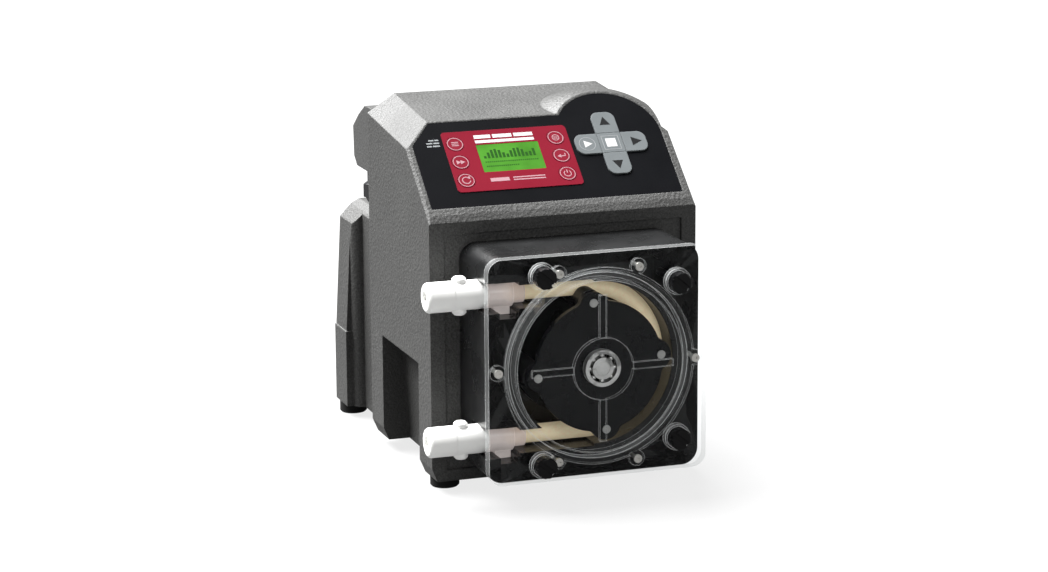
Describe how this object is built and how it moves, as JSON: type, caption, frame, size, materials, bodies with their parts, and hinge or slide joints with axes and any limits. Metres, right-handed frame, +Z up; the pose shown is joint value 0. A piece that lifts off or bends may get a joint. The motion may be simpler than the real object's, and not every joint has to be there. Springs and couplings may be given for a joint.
{
  "type": "peristaltic metering pump",
  "caption": "Bench peristaltic metering pump with a sloping keypad and display, a textured case, side fluid ports and a clear cover over a lobed roller rotor.",
  "frame": {"origin": "on the floor under the middle of the pump's bounding box, at the plane of the rubber feet", "axes": "+Z up, -Y out of the clear cover, +X to the right seen from the front"},
  "size_m": [0.2152, 0.3286, 0.2678],
  "materials": {
    "textured_case": "fine moulded grain",
    "rear_case": "fine moulded grain",
    "hood_plastic": "satin",
    "gland_plastic": "satin",
    "foot_rubber": "matt",
    "screw_steel": "bright",
    "overlay_film": "satin film",
    "label_film": "satin film",
    "lcd_window": "gloss",
    "lcd_module": "matt",
    "circuit_board": "solder mask",
    "board_parts": "matt",
    "grey_key": "satin",
    "red_key": "satin film",
    "dome_steel": "bright",
    "plate_steel": "zinc plated",
    "gearbox_metal": "cast",
    "bush_brass": "machined",
    "motor_steel": "painted",
    "gear_steel": "machined",
    "shaft_steel": "ground",
    "seal_rubber": "matt",
    "head_plastic": "moulded",
    "rotor_plastic": "moulded",
    "roller_plastic": "natural",
    "tube_elastomer": "natural",
    "adapter_clear": "moulded clear plastic",
    "fitting_white": "natural white",
    "cover_clear": "clear polycarbonate",
    "bearing_steel": "polished",
    "knob_black": "moulded"
  },
  "bodies": {
    "case": {"board_components": "board_parts", "cable_glands": "gland_plastic", "display_module": "lcd_module", "display_window": "lcd_window", "drive_plate": "plate_steel", "fitting_lower": "fitting_white", "fitting_upper": "fitting_white", "front_housing": "textured_case", "gearbox_bearing": "bush_brass", "gearbox_case": "gearbox_metal", "gearbox_cover": "gearbox_metal", "head_bolts": "screw_steel", "head_housing": "head_plastic", "housing_screws": "screw_steel", "key_domes": "dome_steel", "label_plate": "label_film", "main_board": "circuit_board", "motor_case": "motor_steel", "panel_board": "circuit_board", "panel_overlay": "overlay_film", "pump_tube": "tube_elastomer", "rear_housing": "rear_case", "rubber_feet": "foot_rubber", "shaft_seal": "seal_rubber", "terminal_hood": "hood_plastic", "tube_adapter_lower": "adapter_clear", "tube_adapter_upper": "adapter_clear"},
    "rotor": {"rotor_body": "rotor_plastic", "rotor_front_plate": "rotor_plastic", "roller_pins": "shaft_steel", "drive_shaft": "shaft_steel", "output_gear": "gear_steel"},
    "squeeze_roller_right": {"squeeze_roller_right": "roller_plastic"},
    "guide_roller_top": {"guide_roller_top": "roller_plastic"},
    "squeeze_roller_left": {"squeeze_roller_left": "roller_plastic"},
    "guide_roller_bottom": {"guide_roller_bottom": "roller_plastic"},
    "motor_armature": {"motor_armature": "gear_steel"},
    "idler_gear": {"idler_gear": "gear_steel"},
    "cover": {"cover_plate": "cover_clear", "cover_dome": "cover_clear", "dome_screws": "screw_steel", "cover_bearing_outer": "bearing_steel"},
    "bearing_inner_race": {"cover_bearing_inner": "bearing_steel"},
    "bearing_balls": {"cover_bearing_balls": "bearing_steel"},
    "key_left_lower": {"key_left_lower": "red_key"},
    "key_left_middle": {"key_left_middle": "red_key"},
    "key_left_upper": {"key_left_upper": "red_key"},
    "key_right_lower": {"key_right_lower": "red_key"},
    "key_right_middle": {"key_right_middle": "red_key"},
    "key_right_upper": {"key_right_upper": "red_key"},
    "arrow_key_right": {"arrow_key_right": "grey_key"},
    "arrow_key_up": {"arrow_key_up": "grey_key"},
    "arrow_key_down": {"arrow_key_down": "grey_key"},
    "start_key": {"start_key": "grey_key"},
    "stop_key": {"stop_key": "grey_key"},
    "thumb_screw_upper_left": {"thumb_screw_upper_left": "knob_black"},
    "thumb_screw_upper_right": {"thumb_screw_upper_right": "knob_black"},
    "thumb_screw_lower_left": {"thumb_screw_lower_left": "knob_black"},
    "thumb_screw_lower_right": {"thumb_screw_lower_right": "knob_black"}
  },
  "joints": [
    {"name": "rotor_spin", "type": "hinge", "parent": "case", "child": "rotor", "pos_m": [0.00975, -0.15175, 0.1], "axis": [0, 1, 0], "continuous": true, "deforming": ["pump_tube"]},
    {"name": "squeeze_roller_right_spin", "type": "hinge", "parent": "rotor", "child": "squeeze_roller_right", "pos_m": [0.05521, -0.15175, 0.1047], "axis": [0, 1, 0], "continuous": true},
    {"name": "guide_roller_top_spin", "type": "hinge", "parent": "rotor", "child": "guide_roller_top", "pos_m": [0.00505, -0.15175, 0.14546], "axis": [0, 1, 0], "continuous": true},
    {"name": "squeeze_roller_left_spin", "type": "hinge", "parent": "rotor", "child": "squeeze_roller_left", "pos_m": [-0.03571, -0.15175, 0.0953], "axis": [0, 1, 0], "continuous": true},
    {"name": "guide_roller_bottom_spin", "type": "hinge", "parent": "rotor", "child": "guide_roller_bottom", "pos_m": [0.01445, -0.15175, 0.05454], "axis": [0, 1, 0], "continuous": true},
    {"name": "idler_spin", "type": "hinge", "parent": "case", "child": "idler_gear", "pos_m": [0.00975, -0.15175, 0.061], "axis": [0, 1, 0], "continuous": true},
    {"name": "motor_spin", "type": "hinge", "parent": "case", "child": "motor_armature", "pos_m": [0.00975, -0.15175, 0.093], "axis": [0, 1, 0], "continuous": true},
    {"name": "cover_slide", "type": "slide", "parent": "case", "child": "cover", "axis": [0, -1, 0], "range_m": [0, 0.06]},
    {"name": "bearing_inner_spin", "type": "hinge", "parent": "cover", "child": "bearing_inner_race", "pos_m": [0.00975, -0.15175, 0.1], "axis": [0, 1, 0], "continuous": true},
    {"name": "bearing_ball_orbit", "type": "hinge", "parent": "cover", "child": "bearing_balls", "pos_m": [0.00975, -0.15175, 0.1], "axis": [0, 1, 0], "continuous": true},
    {"name": "thumb_screw_upper_left_turn", "type": "hinge", "parent": "cover", "child": "thumb_screw_upper_left", "pos_m": [-0.03225, -0.15175, 0.167], "axis": [0, 1, 0], "continuous": true},
    {"name": "thumb_screw_upper_right_turn", "type": "hinge", "parent": "cover", "child": "thumb_screw_upper_right", "pos_m": [0.06725, -0.15175, 0.156], "axis": [0, 1, 0], "continuous": true},
    {"name": "thumb_screw_lower_left_turn", "type": "hinge", "parent": "cover", "child": "thumb_screw_lower_left", "pos_m": [-0.03225, -0.15175, 0.033], "axis": [0, 1, 0], "continuous": true},
    {"name": "thumb_screw_lower_right_turn", "type": "hinge", "parent": "cover", "child": "thumb_screw_lower_right", "pos_m": [0.06725, -0.15175, 0.044], "axis": [0, 1, 0], "continuous": true},
    {"name": "key_left_lower_press", "type": "slide", "parent": "case", "child": "key_left_lower", "axis": [0, 0.6428, -0.766], "range_m": [0, 0.0007], "stiffness_N_per_m": 600},
    {"name": "key_left_middle_press", "type": "slide", "parent": "case", "child": "key_left_middle", "axis": [0, 0.6428, -0.766], "range_m": [0, 0.0007], "stiffness_N_per_m": 600},
    {"name": "key_left_upper_press", "type": "slide", "parent": "case", "child": "key_left_upper", "axis": [0, 0.6428, -0.766], "range_m": [0, 0.0007], "stiffness_N_per_m": 600},
    {"name": "key_right_lower_press", "type": "slide", "parent": "case", "child": "key_right_lower", "axis": [0, 0.6428, -0.766], "range_m": [0, 0.0007], "stiffness_N_per_m": 600},
    {"name": "key_right_middle_press", "type": "slide", "parent": "case", "child": "key_right_middle", "axis": [0, 0.6428, -0.766], "range_m": [0, 0.0007], "stiffness_N_per_m": 600},
    {"name": "key_right_upper_press", "type": "slide", "parent": "case", "child": "key_right_upper", "axis": [0, 0.6428, -0.766], "range_m": [0, 0.0007], "stiffness_N_per_m": 600},
    {"name": "arrow_key_right_press", "type": "slide", "parent": "case", "child": "arrow_key_right", "axis": [0, 0.6428, -0.766], "range_m": [0, 0.0007], "stiffness_N_per_m": 600},
    {"name": "arrow_key_up_press", "type": "slide", "parent": "case", "child": "arrow_key_up", "axis": [0, 0.6428, -0.766], "range_m": [0, 0.0007], "stiffness_N_per_m": 600},
    {"name": "arrow_key_down_press", "type": "slide", "parent": "case", "child": "arrow_key_down", "axis": [0, 0.6428, -0.766], "range_m": [0, 0.0007], "stiffness_N_per_m": 600},
    {"name": "start_key_press", "type": "slide", "parent": "case", "child": "start_key", "axis": [0, 0.6428, -0.766], "range_m": [0, 0.0007], "stiffness_N_per_m": 600},
    {"name": "stop_key_press", "type": "slide", "parent": "case", "child": "stop_key", "axis": [0, 0.6428, -0.766], "range_m": [0, 0.0007], "stiffness_N_per_m": 600}
  ],
  "couplings": [
    {"joint": "squeeze_roller_right_spin", "follows": "rotor_spin", "ratio": -6.0778},
    {"joint": "guide_roller_top_spin", "follows": "rotor_spin", "ratio": -9.3091},
    {"joint": "squeeze_roller_left_spin", "follows": "rotor_spin", "ratio": -6.0778},
    {"joint": "guide_roller_bottom_spin", "follows": "rotor_spin", "ratio": -9.3091},
    {"joint": "idler_spin", "follows": "rotor_spin", "ratio": -3.3333},
    {"joint": "motor_spin", "follows": "rotor_spin", "ratio": 13.333},
    {"joint": "bearing_inner_spin", "follows": "rotor_spin", "ratio": 1},
    {"joint": "bearing_ball_orbit", "follows": "rotor_spin", "ratio": 0.3889}
  ]
}
